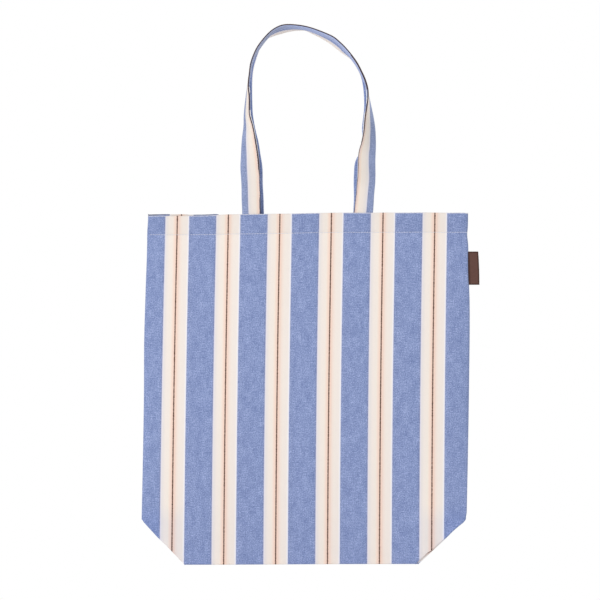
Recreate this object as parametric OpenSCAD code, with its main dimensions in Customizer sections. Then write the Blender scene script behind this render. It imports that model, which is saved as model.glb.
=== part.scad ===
// Striped canvas tote bag: two cloth panels with a base that folds flat between them, a hemmed mouth
// and two strap handles. It hangs by its handles.
// The origin is where a hook takes both straps, +Z is up and the front panel faces -Y.

/* [Bag] */
// Width across the side seams
bag_w = 390; // [360:1:420]
// Height from the bottom edge to the mouth
bag_h = 420; // [380:1:440]
// Depth of the base when it is pulled out flat
base_depth = 108; // [90:1:112]
// How much narrower the hemmed mouth is than the middle of the bag
mouth_draw = 6; // [0:0.5:8]
// Sideways lean of the mouth over the bottom edge
lean = 6; // [-8:0.1:8]
// How far the middle of the bag hangs to the side of that lean
bow = 1.15; // [-3:0.05:3]
// Sideways skew of the bottom edge
foot_skew = 2.5; // [-3:0.1:3]

/* [Fullness] */
// Thickness of the hanging bag where it is fullest
belly = 30; // [26:0.5:40]
// Thickness at the middle of the mouth
mouth_gap = 18; // [17:0.5:24]
// Thickness at the middle of the bottom edge
foot_gap = 9; // [9:0.5:12]
// Height at which the bag is fullest
belly_z = 190; // [150:5:240]

/* [Cloth] */
// Thickness of one ply of canvas
cloth = 0.9; // [0.7:0.05:1]
// Depth of the turned hem at the mouth
hem_depth = 23; // [18:1:28]
// Thickness of the turned plies inside the mouth
hem_plies = 1.6; // [1.2:0.1:1.8]
// Width of the seam allowance inside each side edge
seam_allowance = 9; // [6:0.5:10]
// Diameter of the sewing thread
thread = 0.5; // [0.4:0.05:0.7]

/* [Handles] */
// Width of a strap
strap_w = 22.5; // [20:0.5:24]
// Thickness of a strap, four plies of folded cloth
strap_t = 2.4; // [1.8:0.1:2.6]
// Angle through which a strap turns on edge between the mouth and the arch
strap_turn = 102; // [90:1:105]
// Length of strap sewn inside the mouth
strap_tail = 26; // [20:1:30]

/* [Label] */
// Width of the woven loop label outside the side seam
label_w = 12; // [8:0.5:16]
// Height of the label
label_h = 40; // [30:1:50]
// Thickness of the folded label
label_t = 1; // [0.8:0.1:1.4]
// Distance from the mouth down to the label
label_drop = 45; // [30:1:80]

/* [Hidden] */

blue = "#8496C8";
cream = "#F1E8E0";
peach = "#F8D2BC";
brown = "#5E4038";
white = "#F4F1FA";

// Gap between pieces that move apart, and between plies of one body
air = 0.3;
ply_air = 0.15;
// Height of the hook above the bottom edge
hook_z = 637;

half_base = base_depth / 2;
// Height above which the bag draws in towards its mouth
draw_from = 0.64 * bag_h;
// Half thickness of the bag at a side edge, and at a folded corner where four plies lie together
side_edge = 1.3;
corner_edge = 2.3;
// Width of the rolled edge outside the panels
edge_roll = 1.9;
columns = 20;
rows = 16;
strap_steps = 5;

// Middle line of each strap: distance from the bag's middle and height above the mouth
front_route = [[-65, 0], [-66.5, 50], [-68, 100], [-69.5, 138], [-67, 163], [-60, 189], [-46, 212],
    [-26, 224.5], [-5, 224], [19, 216], [40, 204], [57, 185], [69, 163], [75.5, 125], [76.5, 100],
    [73.5, 70], [70, 0]];
rear_route = [[-61, 0], [-62.5, 50], [-64.5, 100], [-66.5, 136], [-64, 161], [-57.5, 186], [-44, 207.5],
    [-25, 221], [-5, 222.5], [17.5, 215], [38, 201], [54.5, 182.5], [66, 161], [72, 125], [72, 100],
    [69.5, 70], [68, 0]];

function smooth(t) = let (s = min(1, max(0, t))) s * s * (3 - 2 * s);
function mix(a, b, t) = a + (b - a) * t;

// Middle of the bag at a height, with its lean, its bow and the skew of its foot
function middle_x(z) = lean * (z / bag_h - 0.5) + bow * sin(180 * z / bag_h)
    - foot_skew * max(0, 1 - z / half_base);

// Half width of the bag at a height: 45 degree corners below, drawn in a little towards the hem
function half_width(z) = z < half_base
    ? bag_w / 2 - half_base + z
    : bag_w / 2 - mouth_draw / 2 * pow(min(1, max(0, z - draw_from) / (bag_h - hem_depth - draw_from)), 2);

// Half thickness of the bag in its middle and at its edges
function half_mid(z) = z < belly_z
    ? mix(foot_gap / 2, belly / 2, smooth(z / belly_z))
    : mix(belly / 2, mouth_gap / 2, smooth((z - belly_z) / (bag_h - belly_z)));
function half_edge(z) = mix(corner_edge, side_edge, smooth((z - half_base) / half_base));

// Half thickness at a place across the bag, u = -1 at the left edge and 1 at the right edge
function half_thick(u, z) = mix(half_edge(z), half_mid(z), pow(max(0, 1 - u * u), 0.65));
function across(x, z) = (x - middle_x(z)) / half_width(z);

// Heights of the rows of a panel: one on the corner fold line, closer near the bottom and the mouth
corner_rows = 4;
panel_heights = concat(
    [for (i = [0:corner_rows - 1]) half_base * i / corner_rows],
    [for (i = [0:rows - corner_rows]) mix(half_base, bag_h, i / (rows - corner_rows))]);

// Right edge of the bag beside the label
label_root = middle_x(bag_h - label_drop - label_h) + half_width(bag_h - label_drop - label_h);

// A grid of points over part of the bag at a depth under its outer face: side is -1 in front and 1 behind
function skin(side, heights, reach, depth) = [for (z = heights)
    [for (j = [0:columns])
        let (w = half_width(z) - reach, x = middle_x(z) + w * sin(90 * (2 * j / columns - 1)))
            [x, side * (half_thick(across(x, z), z) - depth), z]]];

// Closes two equal grids into one solid: near is the grid that faces -Y, far the one that faces +Y
module cloth_solid(near, far) {
    r = len(near);
    c = len(near[0]);
    last = r * c;
    rim = concat([for (j = [0:c - 1]) j], [for (i = [1:r - 1]) i * c + c - 1],
        [for (j = [c - 2:-1:0]) (r - 1) * c + j], [for (i = [r - 2:-1:1]) i * c]);
    n = len(rim);
    faces = concat(
        [for (i = [0:r - 2], j = [0:c - 2])
            let (a = i * c + j) each [[a, a + c, a + c + 1], [a, a + c + 1, a + 1]]],
        [for (i = [0:r - 2], j = [0:c - 2])
            let (a = last + i * c + j) each [[a, a + c + 1, a + c], [a, a + 1, a + c + 1]]],
        [for (k = [0:n - 1])
            let (a = rim[k], b = rim[(k + 1) % n]) each [[a, b, last + b], [a, last + b, last + a]]]);
    polyhedron(points = concat([for (row = near) each row], [for (row = far) each row]), faces = faces);
}

// A ply of the bag between two depths under the outer face
module ply(side, heights, reach, from, to) {
    outer = skin(side, heights, reach, from);
    inner = skin(side, heights, reach, to);
    if (side < 0) cloth_solid(outer, inner);
    else cloth_solid(inner, outer);
}

// Closes a row of equal rings into one solid
module swept(rings) {
    n = len(rings);
    m = len(rings[0]);
    sides = [for (i = [0:n - 2], k = [0:m - 1])
        let (a = i * m + k, b = i * m + (k + 1) % m) each [[a, b, b + m], [a, b + m, a + m]]];
    faces = concat([[for (k = [m - 1:-1:0]) k]], sides, [[for (k = [0:m - 1]) (n - 1) * m + k]]);
    polyhedron(points = [for (ring = rings) each ring], faces = faces);
}

// Puts the bag where it hangs: heights are measured from its bottom edge, and the hook is the origin
module hung() {
    translate([0, 0, -hook_z]) children();
}

// A flat outline in the XZ plane, thick from y = from to y = to
module slab(outline, from, to) {
    translate([0, to, 0]) rotate([90, 0, 0]) linear_extrude(to - from) polygon(outline);
}

module panel(side) {
    ply(side, panel_heights, edge_roll + air, 0, cloth);
}

module front_panel() color(blue) hung() panel(-1);
module back_panel() color(blue) hung() panel(1);

// One half of the base, from the bottom edge up to the crease where both halves meet
module base_half(side) {
    base_reach = 1.5;
    steps = [0:4];
    function face_point(j, t, depth) =
        let (x = middle_x(0) + (half_width(0) - base_reach) * (2 * j / columns - 1),
            foot = half_thick(across(x, 0), 0) - cloth - air,
            crease = cloth + ply_air)
        [x, side * (mix(foot, crease, t) - depth), half_base * t];
    function face(depth) = [for (t = steps) [for (j = [0:columns]) face_point(j, t / 4, depth)]];
    if (side < 0) cloth_solid(face(0), face(cloth));
    else cloth_solid(face(cloth), face(0));
}

module base_front_half() color(blue) hung() base_half(-1);
module base_rear_half() color(blue) hung() base_half(1);

// The seam that joins both halves of the base, standing up inside the bag along the crease
module bottom_seam() color(cream) hung() {
    seam_h = 8;
    w = half_width(0) - 3;
    x = middle_x(0);
    translate([x - w, -0.7, half_base + ply_air]) cube([2 * w, 1.4, seam_h]);
}

// Folded corner on one side of the bag: a triangle of each panel turned in along the 45 degree edge
module corner_folds(hand) {
    foot_corner = middle_x(0) + hand * half_width(0);
    low = [foot_corner - hand * 0.5, 0];
    high = [middle_x(half_base) + hand * half_width(half_base), half_base];
    inner_top = [low[0], half_base];
    for (side = [-1, 1]) {
        near = side < 0 ? -cloth - ply_air : ply_air;
        slab([low, high, inner_top], near, near + cloth);
        edge = side < 0 ? -corner_edge : ply_air;
        rolled = [low, high, [high[0] - hand * edge_roll, half_base], [foot_corner, edge_roll]];
        slab(rolled, edge, edge + corner_edge - ply_air);
    }
}

module left_corner_folds() color(blue) hung() corner_folds(-1);
module right_corner_folds() color(cream) hung() corner_folds(1);

// Side seam: the rolled edge of the bag with the overlocked allowance turned inside it
module side_seam(hand) {
    heights = [for (i = [0:8]) mix(half_base + air, bag_h, i / 8)];
    allowance = 0.6;
    section = [[0, 0.5], [0.4, 1], [1.2, 1.2], [edge_roll, 1.1], [edge_roll + 0.3, allowance],
        [seam_allowance, allowance]];
    ring = concat(section, [for (i = [len(section) - 1:-1:0]) [section[i][0], -section[i][1]]]);
    rings = [for (z = heights)
        [for (p = ring) [middle_x(z) + hand * (half_width(z) - p[0]), hand * p[1], z]]];
    swept(rings);
}

module left_side_seam() color(blue) hung() side_seam(-1);
module right_side_seam() color(blue) hung() side_seam(1);

// Corner seam allowances, where the ends of the base are sewn to the foot of the side
module corner_seam(hand) {
    x = middle_x(0) + hand * (half_width(0) - 0.5);
    plies = 0.8;
    for (side = [-1, 1]) {
        near = side < 0 ? -cloth - 3 * ply_air - plies : cloth + 3 * ply_air;
        translate([x - 4, near, 20]) cube([8, plies, half_base - 22]);
    }
}

module left_corner_seam() color(cream) hung() corner_seam(-1);
module right_corner_seam() color(cream) hung() corner_seam(1);

// Turned plies of the hem inside the mouth
module hem(side) {
    hem_heights = [for (i = [0:3]) bag_h - hem_depth * (1 - i / 3)];
    ply(side, hem_heights, seam_allowance + 4, cloth + ply_air / 2, cloth + ply_air / 2 + hem_plies);
}

module front_hem() color(blue) hung() hem(-1);
module rear_hem() color(blue) hung() hem(1);

// Row of thread around the foot of the hem, on the outer face
module hem_stitches(side) {
    z = bag_h - hem_depth + 1;
    ply(side, [z - thread / 2, z + thread / 2], edge_roll + air, -thread - ply_air, -ply_air);
}

module front_hem_stitches() color(white) hung() hem_stitches(-1);
module rear_hem_stitches() color(white) hung() hem_stitches(1);

// Points of a smooth curve through a route
function curve(route) =
    let (n = len(route), before = 2 * route[0] - route[1], after = 2 * route[n - 1] - route[n - 2],
        p = concat([before], route, [after]))
    concat([for (i = [1:n - 1], k = [0:strap_steps - 1]) let (t = k / strap_steps)
        0.5 * (2 * p[i] + (p[i + 1] - p[i - 1]) * t
            + (2 * p[i - 1] - 5 * p[i] + 4 * p[i + 1] - p[i + 2]) * t * t
            + (3 * p[i] - p[i - 1] - 3 * p[i + 1] + p[i + 2]) * t * t * t)], [route[n - 1]]);

// Where a strap lies in the mouth: just inside the hem at the strap's outer edge
strap_y = half_thick(across(82, bag_h), bag_h) - cloth - hem_plies - 2 * ply_air - strap_t / 2;
// Distance from the middle of a strap to the rows of thread beside its sewn edge
stitch_edge = strap_w / 2 - 3;
// How far the middle of an on-edge strap stands from the middle of the bag
arch_y = strap_w / 2 + strap_t / 2 + ply_air;
// Heights above the mouth between which a strap turns on edge
turn_from = 36;
turn_to = 170;

function turn(h) = strap_turn * smooth((h - turn_from) / (turn_to - turn_from));

// Frame of a strap at a point of its route: place, direction across it, direction out of its outer face
function strap_frame(points, i, side) =
    let (n = len(points), a = points[max(0, i - 1)], b = points[min(n - 1, i + 1)], d = (b - a) / norm(b - a),
        out = [-d[1], 0, d[0]], lift = turn(points[i][1]),
        wide = -cos(lift) * out + sin(lift) * [0, -1, 0],
        thick = cos(lift) * [0, -1, 0] + sin(lift) * out,
        y = side * mix(strap_y, arch_y, sin(min(90, lift))))
    [[points[i][0], y, bag_h + points[i][1]], wide, thick];

// Sweeps a flat section along a strap: each of its points is [distance across, height out of the outer face]
module along_strap(route, side, section) {
    points = curve(route);
    last = len(points) - 1;
    swept([for (i = [0:last])
        let (f = strap_frame(points, i, side), lift = i == 0 || i == last ? [0, 0, cloth + air] : [0, 0, 0])
            [for (q = section) f[0] + q[0] * f[1] + q[1] * f[2] + lift]]);
}

// The strap itself, with its edges rounded off
module strap(route, side) {
    w = strap_w / 2;
    t = strap_t / 2;
    round = 0.8;
    along_strap(route, side, [[-w, round - t], [round - w, -t], [stitch_edge, -t], [stitch_edge + thread, -t],
        [w - round, -t], [w, round - t], [w, t - round], [w - round, t], [stitch_edge + thread, t],
        [stitch_edge, t], [round - w, t], [-w, t - round]]);
}

module front_handle() color(cream) hung() strap(front_route, -1);
module rear_handle() color(blue) hung() strap(rear_route, 1);

// Two rows of thread beside the sewn edge of a strap, one on each face
module handle_stitches(route, side) {
    near = stitch_edge;
    far = near + thread;
    low = strap_t / 2 + ply_air / 2;
    high = low + thread * 0.7;
    along_strap(route, side, [[near, low], [far, low], [far, high], [near, high]]);
    along_strap(route, side, [[near, -high], [far, -high], [far, -low], [near, -low]]);
}

module front_handle_stitches() color(white) hung() handle_stitches(front_route, -1);
module rear_handle_stitches() color(white) hung() handle_stitches(rear_route, 1);

// End of a strap sewn inside the mouth, under the hem
module strap_end(x, side) {
    translate([x - strap_w / 2, side * strap_y - strap_t / 2, bag_h - strap_tail])
        cube([strap_w, strap_t, strap_tail]);
}

module front_left_strap_end() color(cream) hung() strap_end(front_route[0][0], -1);
module front_right_strap_end() color(cream) hung() strap_end(front_route[len(front_route) - 1][0], -1);
module rear_left_strap_end() color(cream) hung() strap_end(rear_route[0][0], 1);
module rear_right_strap_end() color(cream) hung() strap_end(rear_route[len(rear_route) - 1][0], 1);

// Stitched boxes that hold the strap ends, seen inside the mouth
module tacks(route, side) {
    w = strap_w - 5;
    h = hem_depth - 7;
    y = side * (strap_y - strap_t / 2 - thread / 2 - 0.02);
    for (x = [route[0][0], route[len(route) - 1][0]])
        translate([x, y, bag_h - hem_depth / 2]) rotate([90, 0, 0]) linear_extrude(thread, center = true)
            difference() {
                square([w, h], center = true);
                square([w - 2 * thread, h - 2 * thread], center = true);
            }
}

module front_handle_tacks() color(white) hung() tacks(front_route, -1);
module rear_handle_tacks() color(white) hung() tacks(rear_route, 1);

// Woven loop label that stands out of the right side seam; it turns about its sewn edge
module side_label() color(brown) hung() {
    top = bag_h - label_drop;
    low = top - label_h;
    x = label_root + 0.8;
    far = x + label_w;
    outline = [[x, low], [far, low], [far + 0.3, (low + top) / 2], [far - 0.6, top], [x, top]];
    slab(outline, -label_t / 2, label_t / 2);
}

front_panel();
back_panel();
base_front_half();
base_rear_half();
left_corner_folds();
right_corner_folds();
bottom_seam();
left_side_seam();
right_side_seam();
left_corner_seam();
right_corner_seam();
front_hem();
rear_hem();
front_hem_stitches();
rear_hem_stitches();
front_handle();
rear_handle();
front_handle_stitches();
rear_handle_stitches();
front_left_strap_end();
front_right_strap_end();
rear_left_strap_end();
rear_right_strap_end();
front_handle_tacks();
rear_handle_tacks();
side_label();
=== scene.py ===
import math

import bpy
import numpy as np
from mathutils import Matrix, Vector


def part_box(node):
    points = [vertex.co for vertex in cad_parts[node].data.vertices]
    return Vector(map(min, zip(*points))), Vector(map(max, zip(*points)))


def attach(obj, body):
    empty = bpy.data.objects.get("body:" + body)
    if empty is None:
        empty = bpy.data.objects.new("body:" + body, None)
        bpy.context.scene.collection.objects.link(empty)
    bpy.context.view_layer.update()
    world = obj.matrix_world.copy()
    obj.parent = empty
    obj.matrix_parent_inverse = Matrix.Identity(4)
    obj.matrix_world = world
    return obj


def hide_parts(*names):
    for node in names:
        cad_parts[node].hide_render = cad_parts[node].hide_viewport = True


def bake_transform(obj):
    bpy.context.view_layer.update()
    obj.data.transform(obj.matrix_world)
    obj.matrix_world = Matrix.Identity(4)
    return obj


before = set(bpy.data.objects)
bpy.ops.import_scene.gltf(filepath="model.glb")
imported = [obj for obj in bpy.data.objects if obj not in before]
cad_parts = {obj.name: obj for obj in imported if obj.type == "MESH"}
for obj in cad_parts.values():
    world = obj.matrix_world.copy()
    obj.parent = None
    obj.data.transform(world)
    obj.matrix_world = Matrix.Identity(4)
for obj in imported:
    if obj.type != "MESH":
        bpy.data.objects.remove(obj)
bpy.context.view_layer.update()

# Lengths are worked out in millimetres. Heights are measured from the bag's bottom edge, x from its
# middle and y from the plane between the two panels, as in the part's source.
MM = 0.001
foot_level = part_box("front_panel")[0][2]
bag_h = (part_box("front_panel")[1][2] - foot_level) / MM
half_base = (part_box("base_front_half")[1][2] - foot_level) / MM
full_half_width = 195.0
cloth = 0.9
hem_depth = 23.0
hem_plies = 1.6
hem_row = bag_h - hem_depth + 1
seam_allowance = 9.0
strap_w = 22.5
strap_t = 2.4
stitch_pitch = 3.2

# ---------------------------------------------------------------- camera and light

camera_data = bpy.data.cameras.new("front_camera")
camera_data.type = "ORTHO"
camera_data.ortho_scale = 0.72
camera = bpy.data.objects.new("front_camera", camera_data)
camera.location = (-0.0067, -2.0, -0.3202)
camera.rotation_euler = (math.radians(90), 0, 0)
bpy.context.scene.collection.objects.link(camera)
bpy.context.scene.camera = camera
bpy.context.scene.view_settings.view_transform = "Standard"


def hex_colour(code):
    """sRGB hex to linear RGBA."""
    parts = [int(code[i:i + 2], 16) / 255 for i in (1, 3, 5)]
    linear = [c / 12.92 if c <= 0.04045 else ((c + 0.055) / 1.055) ** 2.4 for c in parts]
    return (*linear, 1.0)


def add(tree, kind, inputs=None, **settings):
    """Adds a shader node. Settings are its own properties, inputs are values, sockets or nodes for its
    sockets."""
    made = tree.nodes.new("ShaderNode" + kind)
    for name, value in settings.items():
        setattr(made, name, value)
    for key, value in (inputs or {}).items():
        if isinstance(value, bpy.types.Node):
            value = next(socket for socket in value.outputs if socket.enabled)
        if isinstance(value, bpy.types.NodeSocket):
            tree.links.new(value, made.inputs[key])
        else:
            made.inputs[key].default_value = value
    return made


LAMP_SIZE = 7.0
LAMP_POWER = 830
ROOM_STRENGTH = 0.665


def soft_lamp(name, place, aim):
    """A large square lamp, so that shadows stay soft."""
    data = bpy.data.lights.new(name, "AREA")
    data.shape = "SQUARE"
    data.size = LAMP_SIZE
    data.energy = LAMP_POWER
    data.color = hex_colour("#FFFDFE")[:3]
    lamp = bpy.data.objects.new(name, data)
    lamp.location = place
    toward = np.array(aim, float) - np.array(place, float)
    tilt = math.atan2(math.hypot(toward[0], toward[1]), -toward[2])
    lamp.rotation_euler = (tilt, 0, math.atan2(toward[1], toward[0]) - math.pi / 2)
    bpy.context.scene.collection.objects.link(lamp)


bag_middle = (0, 0, -0.35)
soft_lamp("key_lamp", (-7.2, -9.6, 0.2), bag_middle)
soft_lamp("back_lamp", (7.2, 9.6, 0.2), bag_middle)

# The room lights the bag evenly, and shows as plain white behind it
world = bpy.data.worlds.new("studio")
bpy.context.scene.world = world
world.use_nodes = True
sky = world.node_tree
sky.nodes.clear()
rays = add(sky, "LightPath").outputs
seen = add(sky, "Math", {0: rays["Is Camera Ray"], 1: rays["Is Glossy Ray"]}, operation="MAXIMUM")
seen = add(sky, "Math", {0: seen, 1: rays["Is Transmission Ray"]}, operation="MAXIMUM")
room = add(sky, "Background", {"Color": hex_colour("#FFFFFF"), "Strength": ROOM_STRENGTH})
backdrop = add(sky, "Background", {"Color": hex_colour("#FFFFFF"), "Strength": 1.0})
add(sky, "OutputWorld", {0: add(sky, "MixShader", {0: seen, 1: room, 2: backdrop})})

# ---------------------------------------------------------------- materials

REPEAT = 62.0      # width of one stripe repeat of the cloth
CREAM_WIDTH = 29.5  # cream part of the repeat, the rest is blue
YARN = 14.85       # brown yarn, measured from the cream part's first border

# Warp colours across one repeat, from the first border of the cream part: white selvedge yarns,
# unbleached cream, a peach shade on both sides of the brown yarn, cream, white, then indigo chambray
WARP = [
    (0.0, "#8C98BE"), (0.35, "#E7E4EF"), (1.3, "#F0EAEC"), (3.0, "#F2EBE6"), (5.5, "#FAF0E7"),
    (9.4, "#FBF1E6"), (10.6, "#FEEEDF"), (11.8, "#FDE5D5"), (13.6, "#FEE0CF"), (15.8, "#FCDDCB"),
    (17.6, "#F9DFD0"), (19.2, "#FAEADE"), (22.0, "#FAF0E6"), (27.0, "#F9F0E8"), (28.4, "#FBF7F8"),
    (29.15, "#FAF8FF"), (29.6, "#98A3C9"), (31.0, "#8E9DC8"), (36.0, "#8A9AC7"), (58.0, "#899AC7"),
    (60.6, "#8998C3"), (61.3, "#8591B8"), (62.0, "#8C98BE"),
]


def new_material(name):
    made = bpy.data.materials.new(name)
    made.use_nodes = True
    made.node_tree.nodes.clear()
    return made, made.node_tree


def finish_material(tree, colour, bump, roughness, sheen=0.0):
    """The shader at the end of a cloth or thread material."""
    links = {"Base Color": colour, "Roughness": roughness, "Specular IOR Level": 0.25,
             "Sheen Weight": sheen, "Sheen Roughness": 0.6}
    if bump is not None:
        links["Normal"] = bump
    add(tree, "OutputMaterial", {0: add(tree, "BsdfPrincipled", links)})


def cloth_place(tree):
    """Position on the cloth in millimetres: both together, then across the stripes and along them."""
    place = add(tree, "UVMap", uv_map="cloth")
    scaled = add(tree, "VectorMath", {0: place, 1: (1000, 1000, 0)}, operation="MULTIPLY")
    split = add(tree, "SeparateXYZ", {0: scaled})
    return scaled, split.outputs[0], split.outputs[1]


def streaks(tree, place, across, along, detail=1.0):
    """Noise stretched into yarns: across and along are its grain in millimetres."""
    scaled = add(tree, "VectorMath", {0: place, 1: (1 / across, 1 / along, 0)}, operation="MULTIPLY")
    return add(tree, "TexNoise", {"Vector": scaled, "Scale": 1.0, "Detail": detail},
               noise_dimensions="2D").outputs[0]


def canvas(name, shade_hex, yarn_hex=("#432C26", "#735042"), strap=False, layers=False,
           fold_tint_at=None, fold_tint_hex="#F4F4FA"):
    """Yarn-dyed cotton canvas, plain weave. Both faces look alike: matt, with a slubby indigo chambray
    stripe and a smooth cream one. Real threads lie about 0.5 mm apart; the weave is drawn at 0.9 mm, the
    finest that shows. The blue along the folded edge at the mouth is tinted: a pale painted highlight with
    some rubbed wear on the front panel, a dark painted shade on the back panel."""
    made, tree = new_material(name)
    place, across, along = cloth_place(tree)
    # Yarns wander sideways a little, so that stripe borders aren't ruled lines
    wander = streaks(tree, place, 6.0, 2.2, 2.0)
    wander = add(tree, "Math", {0: wander, 1: 0.3, 2: -0.15}, operation="MULTIPLY_ADD")
    yarn_at = add(tree, "Math", {0: across, 1: wander}, operation="ADD")
    repeat = add(tree, "Math", {0: yarn_at, 1: 1 / REPEAT, 2: 20.5 + YARN / REPEAT},
                 operation="MULTIPLY_ADD")
    repeat = add(tree, "Math", {0: repeat}, operation="FRACT")
    ramp = add(tree, "ValToRGB", {0: repeat})
    stops = ramp.color_ramp.elements
    while len(stops) > 1:
        stops.remove(stops[-1])
    stops[0].position = 0
    stops[0].color = hex_colour(WARP[0][1])
    for at, code in WARP[1:]:
        stops.new(at / REPEAT).color = hex_colour(code)
    # Share of indigo: 1 in the blue stripe, 0 in the cream one
    blue = add(tree, "MapRange", {"Value": repeat, "From Min": (CREAM_WIDTH - 0.2) / REPEAT,
                                            "From Max": (CREAM_WIDTH + 0.2) / REPEAT})
    slub = streaks(tree, place, 1.0, 1.5)
    # Grain of the cloth: warp yarns, weft yarns, slubs and soft clouds, each with its own share
    shade = 0.0
    for grain, amount in ((streaks(tree, place, 0.7, 14.0), 0.42), (streaks(tree, place, 9.0, 0.7), 0.56),
                          (slub, 1.3), (streaks(tree, place, 8.0, 16.0), 0.35)):
        part = add(tree, "Math", {0: grain, 1: amount, 2: -amount / 2}, operation="MULTIPLY_ADD")
        shade = add(tree, "Math", {0: shade, 1: part}, operation="ADD")
    strength = add(tree, "Math", {0: blue, 1: 1.5, 2: 0.07}, operation="MULTIPLY_ADD")
    light_part = add(tree, "Math", {0: shade, 1: strength}, operation="MULTIPLY")
    dark_part = add(tree, "Math", {0: light_part, 1: -1.1}, operation="MULTIPLY")
    # White weft shows between indigo warp yarns, so light grains are greyer and dark ones bluer
    light = add(tree, "Mix", {0: light_part, 6: ramp, 7: hex_colour("#BDCBF4")}, data_type="RGBA")
    dark = add(tree, "Mix", {0: dark_part, 6: light, 7: hex_colour("#6072A5")}, data_type="RGBA")
    # Brown yarn: thick and thin, so it beads and fades along its length
    off = add(tree, "Math", {0: repeat, 1: YARN / REPEAT}, operation="SUBTRACT")
    off = add(tree, "Math", {0: off}, operation="ABSOLUTE")
    off = add(tree, "Math", {0: off, 1: REPEAT}, operation="MULTIPLY")
    width = streaks(tree, place, 30.0, 2.4, 2.0)
    width = add(tree, "Math", {0: width, 1: 0.6, 2: 0.6}, operation="MULTIPLY_ADD")
    core = add(tree, "Math", {0: width, 1: 0.22}, operation="SUBTRACT")
    inside = add(tree, "MapRange", {"Value": off, "From Min": width, "From Max": core})
    # On the straps the brown yarn fades less and reads darker: the yarn, with painted shade of the sewn edge
    bead = streaks(tree, place, 30.0, 0.9, 0.0)
    bead = add(tree, "Math", {0: bead, 1: 0.6, 2: 0.9 if strap else 0.65}, operation="MULTIPLY_ADD",
               use_clamp=True)
    fade = add(tree, "Math", {0: inside, 1: bead}, operation="MULTIPLY")
    yarn = add(tree, "Mix", {0: streaks(tree, place, 30.0, 5.0, 2.0), 6: hex_colour(yarn_hex[0]),
                                       7: hex_colour(yarn_hex[1])}, data_type="RGBA")
    coloured = add(tree, "Mix", {0: fade, 6: dark, 7: yarn}, data_type="RGBA")
    if strap:
        # Handling has greyed the strap's blue
        worn_blue = add(tree, "Math", {0: blue, 1: 0.2}, operation="MULTIPLY")
        coloured = add(tree, "Mix", {0: worn_blue, 6: coloured, 7: hex_colour("#B6BDCE")},
                       data_type="RGBA")
        # The strap's plain face is painted for light the lamps don't give: greyer, painted shade, on the left
        # and at the right leg, and paler, painted light, on the arch between them where it faces down.
        # Its folded edge, sunk between the plies, is painted palest, as painted light.
        lit_share = add(tree, "MapRange", {"Value": along, "From Min": 245, "From Max": 285})
        upper_leg = add(tree, "MapRange", {"Value": along, "From Min": 390, "From Max": 417,
                                                     "To Min": 1, "To Max": 0.1})
        lit_share = add(tree, "Math", {0: lit_share, 1: upper_leg}, operation="MULTIPLY")
        painted_light_and_shade = add(tree, "Mix", {0: lit_share, 6: hex_colour("#A0A8C1"), 7: hex_colour("#B9C8F3")},
                    data_type="RGBA")
        edge = add(tree, "MapRange", {"Value": across, "From Min": -10.0, "From Max": -13.0})
        painted_light_and_shade = add(tree, "Mix", {0: edge, 6: painted_light_and_shade, 7: hex_colour("#FFFFFF")}, data_type="RGBA")
        much = add(tree, "Math", {0: edge, 1: 0.75}, operation="MAXIMUM")
        plain_face = add(tree, "Math", {0: across, 1: 6.5}, operation="LESS_THAN")
        much = add(tree, "Math", {0: plain_face, 1: much}, operation="MULTIPLY")
        much = add(tree, "Math", {0: much, 1: blue}, operation="MULTIPLY")
        coloured = add(tree, "Mix", {0: much, 6: coloured, 7: painted_light_and_shade}, data_type="RGBA")
    if fold_tint_at:
        # Band along the fold at the mouth, on the blue only: painted highlight with rubbed wear on the front,
        # painted shade on the back panel
        fold_band = add(tree, "Math", {0: along, 1: fold_tint_at, 2: 0.9}, operation="COMPARE")
        fold_band = add(tree, "Math", {0: fold_band, 1: blue}, operation="MULTIPLY")
        patchy = add(tree, "Math", {0: streaks(tree, place, 2.5, 2.5), 1: 0.2}, operation="ADD")
        patchy = add(tree, "Math", {0: fold_band, 1: patchy}, operation="MULTIPLY")
        coloured = add(tree, "Mix", {0: patchy, 6: coloured, 7: hex_colour(fold_tint_hex)}, data_type="RGBA")
    if layers:
        # One layer of cloth lets light through. Where more layers lie behind it, in the hem and the folded
        # corners, it looks a little darker.
        hem = add(tree, "MapRange", {"Value": along, "From Min": hem_row - 1, "From Max": hem_row + 1})
        coloured = add(tree, "Mix", {0: hem, 6: coloured, 7: hex_colour("#FAFAFA")}, data_type="RGBA",
                       blend_type="MULTIPLY")
        aside = add(tree, "Math", {0: across}, operation="ABSOLUTE")
        aside = add(tree, "MapRange", {"Value": aside, "From Min": 136, "From Max": 150})
        low = add(tree, "MapRange", {"Value": along, "From Min": 72, "From Max": 50})
        corner = add(tree, "Math", {0: aside, 1: low}, operation="MULTIPLY")
        coloured = add(tree, "Mix", {0: corner, 6: coloured, 7: hex_colour("#F5F8FF")}, data_type="RGBA",
                       blend_type="MULTIPLY")
    tinted = add(tree, "Mix", {0: 1.0, 6: coloured, 7: hex_colour(shade_hex)}, data_type="RGBA",
                 blend_type="MULTIPLY")
    # Weave: over and under of warp and weft
    pitch = 2 * math.pi / 1.8
    warp = add(tree, "Math", {0: yarn_at, 1: pitch}, operation="MULTIPLY")
    weft = add(tree, "Math", {0: along, 1: pitch}, operation="MULTIPLY")
    warp = add(tree, "Math", {0: warp}, operation="SINE")
    weft = add(tree, "Math", {0: weft}, operation="SINE")
    weave = add(tree, "Math", {0: warp, 1: weft}, operation="MULTIPLY")
    relief = add(tree, "Math", {0: weave, 1: 0.35, 2: slub}, operation="MULTIPLY_ADD")
    bump = add(tree, "Bump", {"Height": relief, "Strength": 0.35, "Distance": 0.0002})
    finish_material(tree, tinted, bump, 0.92, 0.08)
    return made


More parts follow.
